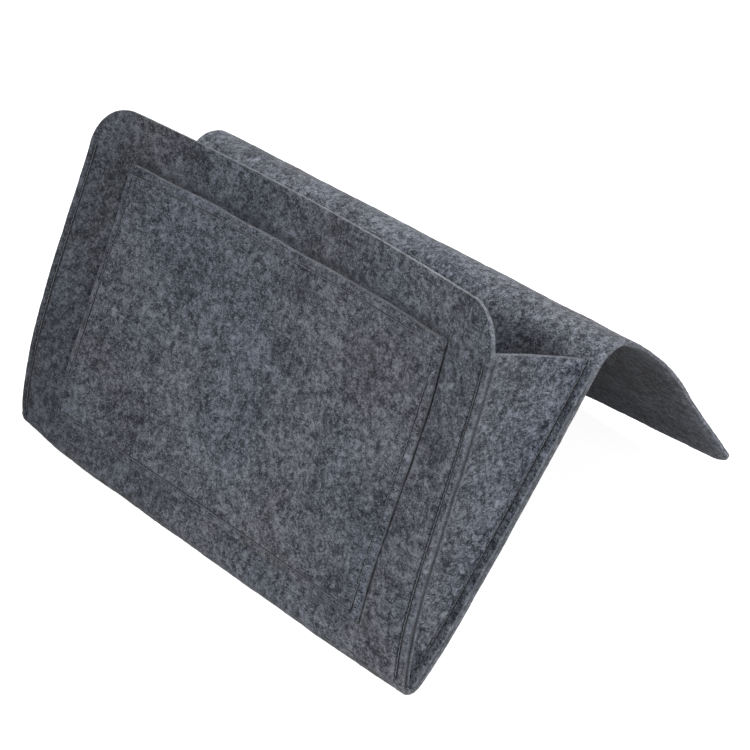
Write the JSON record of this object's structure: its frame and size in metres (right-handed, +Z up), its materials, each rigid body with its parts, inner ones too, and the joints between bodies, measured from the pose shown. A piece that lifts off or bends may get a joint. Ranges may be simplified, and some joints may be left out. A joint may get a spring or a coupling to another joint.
{
  "type": "hanging storage bag",
  "caption": "Hanging felt storage bag with a wide gusseted main pocket, a flat outer pocket sewn on the front and a long tuck-in flap folded over at the top of the back.",
  "frame": {"origin": "on the table, under the middle of the bag as it stands on its rounded bottom and on the flap's edge", "axes": "+X across the bag to the right as seen from the front, +Y from the front panel to the flap, +Z up"},
  "size_m": [0.32, 0.254, 0.1815],
  "materials": {
    "felt": "matt mottled grey felt",
    "thread": "dark sewing thread"
  },
  "bodies": {
    "back": {"back_panel": "felt", "gusset_left": "felt", "gusset_right": "felt", "back_seam_left_bobbin_thread": "thread", "back_seam_left_needle_thread": "thread", "back_seam_right_bobbin_thread": "thread", "back_seam_right_needle_thread": "thread"},
    "front": {"front_panel": "felt", "outer_pocket": "felt", "front_seam_left_bobbin_thread": "thread", "front_seam_left_needle_thread": "thread", "front_seam_right_bobbin_thread": "thread", "front_seam_right_needle_thread": "thread", "outer_pocket_hem_thread": "thread", "outer_pocket_seam_bobbin_thread": "thread", "outer_pocket_seam_needle_thread": "thread"},
    "bend_strip_1": {"bend_strip_1": "felt"},
    "bend_strip_2": {"bend_strip_2": "felt"},
    "bend_strip_3": {"bend_strip_3": "felt"},
    "flap": {"flap": "felt"}
  },
  "joints": [
    {"name": "bend_fold_1", "type": "hinge", "parent": "back", "child": "bend_strip_1", "pos_m": [0, 0.00636, 0.13369], "axis": [1, 0, 0], "range_deg": [-12, 21.9], "stiffness_Nm_per_rad": 3},
    {"name": "bend_fold_2", "type": "hinge", "parent": "bend_strip_1", "child": "bend_strip_2", "pos_m": [0, 0.01215, 0.13656], "axis": [1, 0, 0], "range_deg": [-12, 21.9], "stiffness_Nm_per_rad": 3},
    {"name": "bend_fold_3", "type": "hinge", "parent": "bend_strip_2", "child": "bend_strip_3", "pos_m": [0, 0.01858, 0.13706], "axis": [1, 0, 0], "range_deg": [-12, 21.9], "stiffness_Nm_per_rad": 3},
    {"name": "bend_fold_4", "type": "hinge", "parent": "bend_strip_3", "child": "flap", "pos_m": [0, 0.02475, 0.13513], "axis": [1, 0, 0], "range_deg": [-12, 21.9], "stiffness_Nm_per_rad": 3},
    {"name": "mouth", "type": "hinge", "parent": "back", "child": "front", "pos_m": [0, -0.11968, 0.00421], "axis": [-1, 0, 0], "range_deg": [0, 16], "stiffness_Nm_per_rad": 0.3, "springref_deg": -11.46, "deforming": ["gusset_left", "gusset_right"]}
  ]
}
